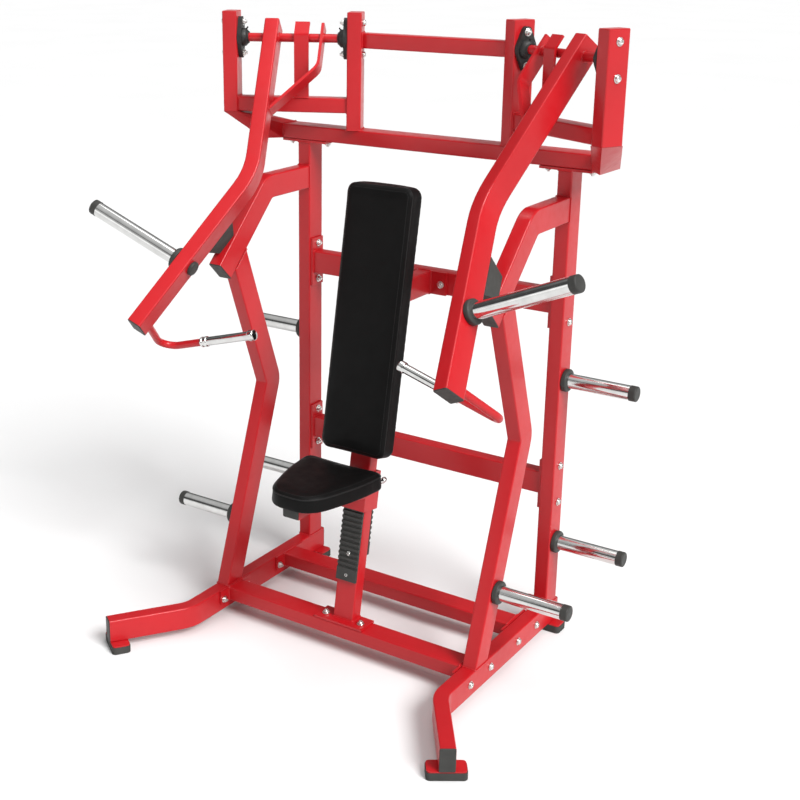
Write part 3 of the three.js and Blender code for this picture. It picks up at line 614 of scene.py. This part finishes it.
def add_caps():
    toe = (TOE_END - TOE_BEND).normalized()
    rail_end = Vector((FRAME_X, 95, RAIL_MIDDLE_Z))
    hip_along = Vector((0, -1, -1)).normalized()
    wide = (TUBE_HALF_DEEP, TUBE_HALF)
    tall = (TUBE_HALF, TUBE_HALF_DEEP)
    paint = {"look": PAINT, "slot": "red_paint", "rise": 3.0}
    seat_front = Vector((0, -775, SEAT_BOTTOM - 15))
    for label, side in SIDES:
        def pair(name, centre, out, up, half_sizes, body="frame", **finish):
            out = flip(out, side)
            up = flip(up, side)
            across = up.cross(out)
            add_cap(f"{label}_{name}", flip(centre, side), across, up, *half_sizes, body, **finish)

        pair("toe_cap", TOE_END, toe, Z_AXIS, tall)
        pair("rail_rear_cap", rail_end, Y_AXIS, Z_AXIS, tall)
        pair("hip_cap", HIP_FRONT, hip_along, X_AXIS, wide)
        pair("arm_end_cap", ARM_END, FOREARM, FOREARM_SIDE, wide, f"{label}_arm")
        pair("arm_top_plate", ARM_TOP, -UPPER_ARM, U_AXIS, wide, f"{label}_arm", **paint)
        for name, u in (("inner", TUBE_HALF), ("outer", BRACKET_LENGTH - TUBE_HALF)):
            top = in_bracket(u, SHAFT_V, BRACKET_TOP)
            pair(f"{name}_post_plate", top, Z_AXIS, U_AXIS, wide, **paint)
    add_cap("seat_post_cap", in_post(0, TUBE_HALF, 1230), X_AXIS, LEAN @ Y_AXIS, *wide, "frame")
    add_cap("seat_arm_cap", seat_front, X_AXIS, Z_AXIS, 30, 15, "seat")


add_caps()


# ---------------------------------------------------------------- weld beads
BEAD = 2.6
RIPPLE = 3.2
HANDLE_UP = 36                               # the handle's foot above the arm's end


def ripple(index):
    return BEAD * (1 + 0.16 * math.cos(math.tau * index / 3))


def bead_loop(part, centre, a, b, half_a, half_b):
    """A rippled bead round a tube where it meets a face."""
    outline = rounded_rectangle(half_a + 0.8, half_b + 0.8, 5.5, 3)
    points = [centre + a * x + b * y for x, y in outline]
    part.swept(resampled(points, RIPPLE / 3 * 2, True), ripple, 8, True)


def bead_ring(part, centre, direction, radius):
    across = direction.orthogonal().normalized()
    other = direction.cross(across)
    count = max(18, round(math.tau * radius / RIPPLE * 1.5))
    points = []
    for i in range(count):
        turn = math.tau * i / count
        points.append(centre + (across * math.cos(turn) + other * math.sin(turn)) * (radius + 0.6))
    part.swept(points, ripple, 8, True)


def add_welds():
    hip_normal = Vector((0, 1, -1)).normalized()
    hip_along = Vector((0, 1, 1)).normalized()
    thigh_top = Vector((FRAME_X, -398, 1286.6))
    thigh = (KNEE - thigh_top).normalized()
    hip_face = HIP_FRONT + hip_normal * (TUBE_HALF_DEEP + GAP)
    reach = (hip_face - thigh_top).dot(hip_normal) / thigh.dot(hip_normal)
    thigh_joint = thigh_top + thigh * reach
    shin = (KNEE - SHIN_BOTTOM).normalized()
    wide = (TUBE_HALF_DEEP, TUBE_HALF)
    tall = (TUBE_HALF, TUBE_HALF_DEEP)
    for label, side in SIDES:
        part = Part()

        def loop(centre, a, b, half_a, half_b):
            bead_loop(part, flip(centre, side), flip(a, side), flip(b, side), half_a, half_b)

        loop(Vector((FRAME_X, BACK_Y, RAIL_TOP + GAP)), X_AXIS, Y_AXIS, *tall)
        loop(Vector((FRAME_X, -466, RAIL_TOP + GAP)), X_AXIS, Y_AXIS, TUBE_HALF, TUBE_HALF_DEEP / shin.z)
        loop(Vector((FRAME_X, -GAP, 1508)), X_AXIS, Z_AXIS, *tall)
        loop(thigh_joint, X_AXIS, hip_along, TUBE_HALF, TUBE_HALF_DEEP / abs(thigh.dot(hip_normal)))
        loop(Vector((FRAME_X, BACK_Y, TOP_PLATE_BOTTOM - GAP)), X_AXIS, Y_AXIS, *tall)
        loop(Vector((590, BACK_Y, 1662)), Y_AXIS, Z_AXIS, *wide)
        for y in BASE_CROSSES:
            loop(Vector((FLANGE_FACE, y, 85)), Y_AXIS, Z_AXIS, *wide)
        for z in BACK_CROSSES:
            loop(Vector((FLANGE_FACE, BACK_Y, z)), Y_AXIS, Z_AXIS, *tall)
        loop(in_bracket(TUBE_HALF, SHAFT_V, 1687.2), U_AXIS, V_AXIS, *tall)
        for u in (50.2, BRACKET_LENGTH - 50.2):
            loop(in_bracket(u, 39, LOWER_BAR_BOTTOM + TUBE_HALF), V_AXIS, Z_AXIS, 30, TUBE_HALF)
        loop(in_bracket(207, 13.5, 1793.2), U_AXIS, V_AXIS, 25, 4)
        loop(Vector((287.3, 50, 1985)), V_AXIS, Z_AXIS, 27.6, 25)
        part.piece(f"{label}_frame_welds", PAINT, "frame", "red_paint")

        part = Part()
        shaft = flip(U_AXIS, side)
        for u in (ARM_U - 25, ARM_U + 25, BRACE_U - 5, BRACE_U + 5):
            bead_ring(part, flip(in_bracket(u, SHAFT_V, SHAFT_Z), side), shaft, SHAFT_RADIUS)
        handle_foot = ARM_END - FOREARM * HANDLE_UP + FOREARM_BACK * (TUBE_HALF_DEEP + GAP)
        bead_ring(part, flip(handle_foot, side), flip(FOREARM_BACK, side), 13.5)
        part.piece(f"{label}_arm_welds", PAINT, f"{label}_arm", "red_paint")

    part = Part()
    bead_loop(part, Vector((0, -479.5, 118.4)) + Y_AXIS * 23, X_AXIS, Y_AXIS, 40, 25.4)
    bead_loop(part, Vector((0, 6.5, 1197)), X_AXIS, Z_AXIS, 25, 40)
    part.piece("seat_post_welds", PAINT, "frame", "red_paint")


add_welds()


# ---------------------------------------------------------------- press arm handles
HANDLE_ELBOW = Vector((658, -607, 997))
HANDLE_TIP = Vector((272, -594, 1106))
GRIP_LENGTH = 222


def add_handles():
    foot = ARM_END - FOREARM * HANDLE_UP + FOREARM_BACK * 38
    along = (HANDLE_TIP - HANDLE_ELBOW).normalized()
    grip_start = HANDLE_TIP - along * GRIP_LENGTH
    path = resampled(rounded_path([foot, HANDLE_ELBOW, grip_start + along * 3], 45, 16), 12)
    grip = [(6, 0.3), (16.6, 0.3), (17.8, 1.8), (17.8, 5.5), (16.4, 7.2), (15.0, 8.2), (15.0, 14),
            (17.4, 15.6), (18.0, 17.0), (18.0, 23.0), (17.4, 24.6), (15.0, 26.4), (15.0, GRIP_LENGTH - 25),
            (17.2, GRIP_LENGTH - 21.5), (18.0, GRIP_LENGTH - 19), (18.0, GRIP_LENGTH - 5),
            (16.8, GRIP_LENGTH - 1.8), (13.5, GRIP_LENGTH - 0.3), (4, GRIP_LENGTH)]
    for label, side in SIDES:
        arm = f"{label}_arm"
        bar = Part().swept([flip(point, side) for point in path], 12.5, 32)
        bar = bar.piece(f"{label}_handle_bar", PAINT, arm, "red_paint")
        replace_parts(bar, f"{label}_handle_tube")
        sleeve = Part().turned(grip, flip(grip_start, side), flip(along, side), 56)
        sleeve = sleeve.piece(f"{label}_grip_sleeve", CHROME, arm, "chrome")
        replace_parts(sleeve, f"{label}_hand_grip")


add_handles()


# ---------------------------------------------------------------- bearings
def add_bearing_details():
    """Dark inner race and grease nipple on each flange bearing."""
    for label, side in SIDES:
        steel = Part()
        for u, way in ((50.3, 1), (BRACKET_LENGTH - 50.3, -1)):
            facing = flip(U_AXIS, side) * way
            seat = flip(in_bracket(u, SHAFT_V, SHAFT_Z), side)
            race = [(15.6, 30), (20, 30), (20.6, 30.8), (20.6, 34.2), (19.6, 35.2), (15.6, 35.2)]
            steel.turned(race, seat, facing, 40, ring=True)
            nipple = [(2.2, 0), (3.6, 0), (3.6, 4), (2.4, 5), (2.4, 8), (3.2, 9.5), (1.6, 11.5)]
            tilt = (Z_AXIS + facing * 0.7).normalized()
            steel.turned(nipple, seat + facing * 25 + Z_AXIS * 26, tilt, 16)
        steel.piece(f"{label}_bearing_races", IRON, "frame", "bearing_iron")


add_bearing_details()


# ---------------------------------------------------------------- upholstery
def seat_outline():
    """Counter-clockwise outline of the seat in x and y: square at the back, with a round nose."""
    back, front, half, corner, nose, nose_half = -466, -794, 154, 34, 62, 84

    def curve(a, b, c):
        return [(Vector(a) * (1 - t) ** 2 + Vector(b) * 2 * t * (1 - t) + Vector(c) * t * t)
                for t in (k / 10 for k in range(11))]

    right = [Vector((0, back)), Vector((half - corner, back))]
    for k in range(1, 7):
        turn = math.pi / 2 * (1 - k / 6)
        x = half - corner + corner * math.cos(turn)
        y = back - corner + corner * math.sin(turn)
        right.append(Vector((x, y)))
    right += curve((half, back - corner), (half - 4, back - 130), (nose_half + 20, front + nose))[1:]
    right += curve((nose_half + 20, front + nose), (nose_half - 6, front), (nose_half - nose, front))[1:]
    left = [Vector((-point.x, point.y)) for point in reversed(right[1:])]
    outline = [Vector((point.x, point.y, 0)) for point in right + left]
    outline = resampled(outline, 14, True)
    outline.reverse()
    return [(point.x, point.y) for point in outline]


def cushion(name, node, outline, base, across, up, out, thickness, body, swell, edge):
    start = Part().slab(inset_outline(outline, 1), base, across, up, out, thickness - swell * 0.4, edge, 5)
    pad = start.piece(name, VINYL, body, "upholstery", smooth=False)
    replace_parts(pad, node)
    swell_cloth(pad, out, at(base) @ out, swell)
    subdivision = pad.modifiers.new("smooth", "SUBSURF")
    subdivision.levels = 1
    subdivision.render_levels = 1
    for face in pad.data.polygons:
        face.use_smooth = True
    return pad


def swell_cloth(pad, out, low, swell):
    """Inflates the pad from its board, with no point moving further than swell, then evens it."""
    remesh = pad.modifiers.new("remesh", "REMESH")
    remesh.mode = "VOXEL"
    remesh.voxel_size = 0.005
    baked(pad)
    pinned = pad.vertex_groups.new(name="board")
    pinned.add([v.index for v in pad.data.vertices if v.co @ out - low < 0.007], 1.0, "REPLACE")
    rest = coordinates(pad.data)
    cloth = pad.modifiers.new("cloth", "CLOTH")
    cloth.settings.quality = 5
    cloth.settings.mass = 0.3
    cloth.settings.tension_stiffness = 25
    cloth.settings.compression_stiffness = 25
    cloth.settings.bending_stiffness = 3
    cloth.settings.use_pressure = True
    cloth.settings.uniform_pressure_force = 4
    cloth.settings.effector_weights.gravity = 0
    cloth.settings.vertex_group_mass = "board"
    cloth.collision_settings.use_collision = False
    scene = bpy.context.scene
    for number in range(1, 21):
        scene.frame_set(number)
        bpy.context.view_layer.update()
    baked(pad)
    scene.frame_set(1)
    move = coordinates(pad.data) - rest
    length = np.linalg.norm(move, axis=1)
    move *= np.minimum(1, swell / 1000 / np.maximum(length, 1e-9))[:, None]
    move = evened(pad.data, move, 25)
    pad.data.vertices.foreach_set("co", (rest + move).astype(np.float32).ravel())
    pad.data.update()


def coordinates(mesh):
    flat = np.empty(len(mesh.vertices) * 3, np.float32)
    mesh.vertices.foreach_get("co", flat)
    return flat.reshape(-1, 3).astype(float)


def evened(mesh, move, rounds):
    """Spreads each point's movement over its neighbours, so that tight vinyl shows no stray folds."""
    pairs = np.empty(len(mesh.edges) * 2, np.int32)
    mesh.edges.foreach_get("vertices", pairs)
    one, two = pairs.reshape(-1, 2).T
    count = np.bincount(one, minlength=len(move)) + np.bincount(two, minlength=len(move))
    for _ in range(rounds):
        total = np.zeros_like(move)
        np.add.at(total, one, move[two])
        np.add.at(total, two, move[one])
        move = 0.4 * move + 0.6 * total / np.maximum(count, 1)[:, None]
    return move


def baked(obj):
    """Replaces a piece's mesh with what its modifiers make of it."""
    graph = bpy.context.evaluated_depsgraph_get()
    mesh = bpy.data.meshes.new_from_object(obj.evaluated_get(graph))
    old = obj.data
    obj.modifiers.clear()
    obj.data = mesh
    bpy.data.meshes.remove(old)
    if not mesh.materials:
        mesh.materials.append(VINYL)


def surface_of(pad):
    graph = bpy.context.evaluated_depsgraph_get()
    return BVHTree.FromObject(pad, graph)


def trim_seam(name, pad, outline, base, across, up, out, height, body, radius, inset):
    """Piping along the pad's upper edge with a stitch line beside it, both laid on its surface."""
    tree = surface_of(pad)

    def on_surface(point):
        found = tree.find_nearest(at(point))
        return found[0] * 1000 - Vector((0, ORIGIN_Y, 0)), found[1]

    corners = [base + across * x + up * y + out * height for x, y in inset_outline(outline, inset)]
    cord = [on_surface(point)[0] for point in resampled(corners, 9, True)]
    # the piping's lighter colour is a painted highlight on the pad's upper edge
    Part().swept(cord, radius, 10, True).piece(name + "_piping", PIPING_PAINTED_HIGHLIGHT, body, "upholstery")

    stitches = Part()
    line = [base + across * x + up * y + out * (height + 20) for x, y in inset_outline(outline, inset + 13)]
    dots = resampled(line, 4.2, True)
    for first, second in zip(dots[::2], dots[1::2]):
        (a, normal_a), (b, normal_b) = on_surface(first), on_surface(second)
        middle = (a + b) / 2 + normal_a * 0.55
        stitches.swept([a - normal_a * 0.3, middle, b - normal_b * 0.3], 0.55, 6)
    stitches.piece(name + "_stitches", THREAD, body, "upholstery")


def board(name, outline, base, across, up, out, body, screws):
    """The board under a cushion, with a screw head at each (x, y) place."""
    part = Part()
    part.slab(inset_outline(outline, 12), base, across, up, out, BOARD, 1.5)
    for x, y in screws:
        centre = base + across * x + up * y
        part.turned([(3, 0.3), (8.5, 0.3), (8.5, -0.8), (6.5, -1.6), (3, -1.8)], centre, out, 24)
    part.piece(name, PLASTIC, body, "black_plastic")


def add_upholstery():
    back_base = in_post(0, -0.6, (PAD_TOP + PAD_BOTTOM) / 2)
    half_height = (PAD_TOP - PAD_BOTTOM) / 2
    back_outline = rounded_rectangle(PAD_WIDTH / 2, half_height, 34, 6)
    dense = resampled([Vector((x, y, 0)) for x, y in back_outline], 20, True)
    back_outline = [(point.x, point.y) for point in dense]
    # across x up has to point out of the pad
    place = (X_AXIS, POST_UP, POST_OUT)
    board("back_board", back_outline, back_base, *place, "frame", ())
    base = back_base + POST_OUT * 1.5
    thickness = PAD_THICKNESS - 2.5
    pad = cushion("back_cushion", "back_pad", back_outline, base, *place, thickness, "frame", 5, 13)
    trim_seam("back_cushion", pad, back_outline, base, *place, thickness - 9, "frame", 1.8, 1)

    outline = seat_outline()
    place = (X_AXIS, Y_AXIS, Z_AXIS)
    seat_base = Vector((0, 0, SEAT_BOTTOM + 0.6))
    screws = ((-60, -520), (60, -520), (-55, -700), (55, -700))
    board("seat_board", outline, seat_base, *place, "seat", screws)
    base = seat_base + Z_AXIS * 1.5
    thickness = SEAT_THICKNESS - 2.5
    pad = cushion("seat_cushion", "seat_pad", outline, base, *place, thickness, "seat", 5, 11)
    trim_seam("seat_cushion", pad, outline, base, *place, thickness - 8, "seat", 2.2, 1)


add_upholstery()


# ---------------------------------------------------------------- seat adjustment
def add_lever():
    pin = in_post(0, -36, 478)
    corner = Vector((72, pin.y, pin.z))
    tip = Vector((124, -446, 640))
    path = rounded_path([Vector((-58, pin.y, pin.z)), corner, tip], 18)
    knob = [(3, -5), (6.2, -4.5), (6.6, -1), (8.2, 2.5), (9.0, 6), (9.0, 18.5), (7.8, 22), (5.4, 23.8),
            (2.0, 24.0)]
    lever = Part().swept(resampled(path, 5), 6, 24)
    lever.turned(knob, tip, (tip - corner).normalized(), 40)
    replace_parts(lever.piece("release_lever", CHROME, "lever", "chrome"), "seat_lever")


add_lever()


# ---------------------------------------------------------------- rubber feet
def add_feet():
    """Moulded rubber cups: a ribbed pad under each foot plate with a lip round the plate's edge."""
    toe = (TOE_END - TOE_BEND).normalized()
    toe_centre = Vector((TOE_END.x, TOE_END.y, 0)) - toe * 30
    rear_centre = Vector((FRAME_X, 65, 0))
    outline = rounded_rectangle(62, 32, 13)
    profile = ((2.5, 0), (0.6, 1.2), (0, 3), (0, 6), (1.0, 7), (1.0, 8.4), (0, 9.4), (0, 25.5),
               (0.5, 26.6), (1.4, 26.6), (1.8, 26), (1.8, 20.1))
    for label, side in SIDES:
        for name, centre, along in (("front_foot", toe_centre, toe), ("rear_foot", rear_centre, Y_AXIS)):
            along = flip(along, side)
            across = along.cross(Z_AXIS)
            centre_here = flip(centre, side)
            loops = []
            for inset, height in profile:
                points = inset_outline(outline, inset)
                loops.append([centre_here + across * x + along * y + Z_AXIS * height for x, y in points])
            cup = Part().loops(loops).piece(f"{label}_{name}_cup", RUBBER, "frame", "rubber")
            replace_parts(cup, f"{label}_{name}")


add_feet()


# ---------------------------------------------------------------- floor, light and camera
def floor_look():
    look = Look("pale_floor", (0.81, 0.81, 0.81))
    look.tint(look.span(look.noise(0.6), 0.0, 1.0), (0.79, 0.79, 0.79))
    look.roughness(look.noise(3.0), 0.75, 0.85)
    return look.material


def add_floor():
    bm = bmesh.new()
    bmesh.ops.create_circle(bm, cap_ends=True, radius=70.0, segments=96)
    mesh = bpy.data.meshes.new("floor")
    bm.to_mesh(mesh)
    bm.free()
    floor = bpy.data.objects.new("floor", mesh)
    bpy.context.scene.collection.objects.link(floor)
    mesh.materials.append(floor_look())


LIGHT_TARGET = Vector((0, 0, 0.9))
KEY_DIRECTION = Vector((0.9, -0.26, 0.85))


def aimed(name, data, place):
    lamp = bpy.data.objects.new(name, data)
    lamp.location = place
    aim = LIGHT_TARGET - Vector(place)
    lamp.rotation_euler = aim.to_track_quat("-Z", "Y").to_euler()
    bpy.context.scene.collection.objects.link(lamp)


def add_softbox(name, place, size, power):
    data = bpy.data.lights.new(name, "AREA")
    data.shape = "RECTANGLE"
    data.size, data.size_y = size
    data.energy = power
    aimed(name, data, place)


def add_key():
    """A broad far light that reaches the whole floor evenly."""
    data = bpy.data.lights.new("key", "SUN")
    data.energy = 3.9
    data.angle = math.radians(28)
    aimed("key", data, LIGHT_TARGET + KEY_DIRECTION)


def add_world():
    """A pale room: bright to just above the horizon, a dark band over it and a soft ceiling."""
    world = bpy.data.worlds.new("studio")
    bpy.context.scene.world = world
    world.use_nodes = True
    nodes = world.node_tree.nodes
    links = world.node_tree.links
    place = nodes.new("ShaderNodeTexCoord")
    split = nodes.new("ShaderNodeSeparateXYZ")
    ramp = nodes.new("ShaderNodeValToRGB")
    links.new(place.outputs["Generated"], split.inputs[0])
    links.new(split.outputs["Z"], ramp.inputs["Fac"])
    links.new(ramp.outputs["Color"], nodes["Background"].inputs["Color"])
    ramp.color_ramp.interpolation = "EASE"
    stops = ((0.0, 0.95), (0.13, 0.90), (0.24, 0.06), (0.50, 0.08), (0.68, 0.55), (1.0, 0.75))
    for _ in stops[2:]:
        ramp.color_ramp.elements.new(0.5)
    for element, (height, level) in zip(ramp.color_ramp.elements, stops):
        element.position = height
        element.color = (level, level, level, 1)


def add_camera():
    azimuth, elevation, roll = (math.radians(angle) for angle in (34.54, 18.41, 0.17))
    forward = Vector((-math.sin(azimuth) * math.cos(elevation), math.cos(azimuth) * math.cos(elevation),
                      -math.sin(elevation)))
    right = Vector((math.cos(azimuth), math.sin(azimuth), 0))
    up = right.cross(forward)
    turned_right = right * math.cos(roll) + up * math.sin(roll)
    turned_up = up * math.cos(roll) - right * math.sin(roll)
    data = bpy.data.cameras.new("camera")
    data.sensor_width = 36.0
    data.lens = 60.27
    data.shift_x = 0.0933
    data.shift_y = -0.0366
    data.clip_end = 200.0
    camera = bpy.data.objects.new("camera", data)
    rotation = Matrix((turned_right, turned_up, -forward)).transposed()
    camera.matrix_world = Matrix.Translation(at((2247.5, -3854.4, 2354.9))) @ rotation.to_4x4()
    bpy.context.scene.collection.objects.link(camera)
    bpy.context.scene.camera = camera


add_floor()
add_world()
add_key()
add_softbox("front_fill", (-2.6, -4.6, 2.4), (2.0, 3.0), 9)
add_softbox("overhead", (0.3, -0.3, 4.6), (1.2, 4.0), 35)
add_camera()
bpy.context.scene.view_settings.view_transform = "Standard"
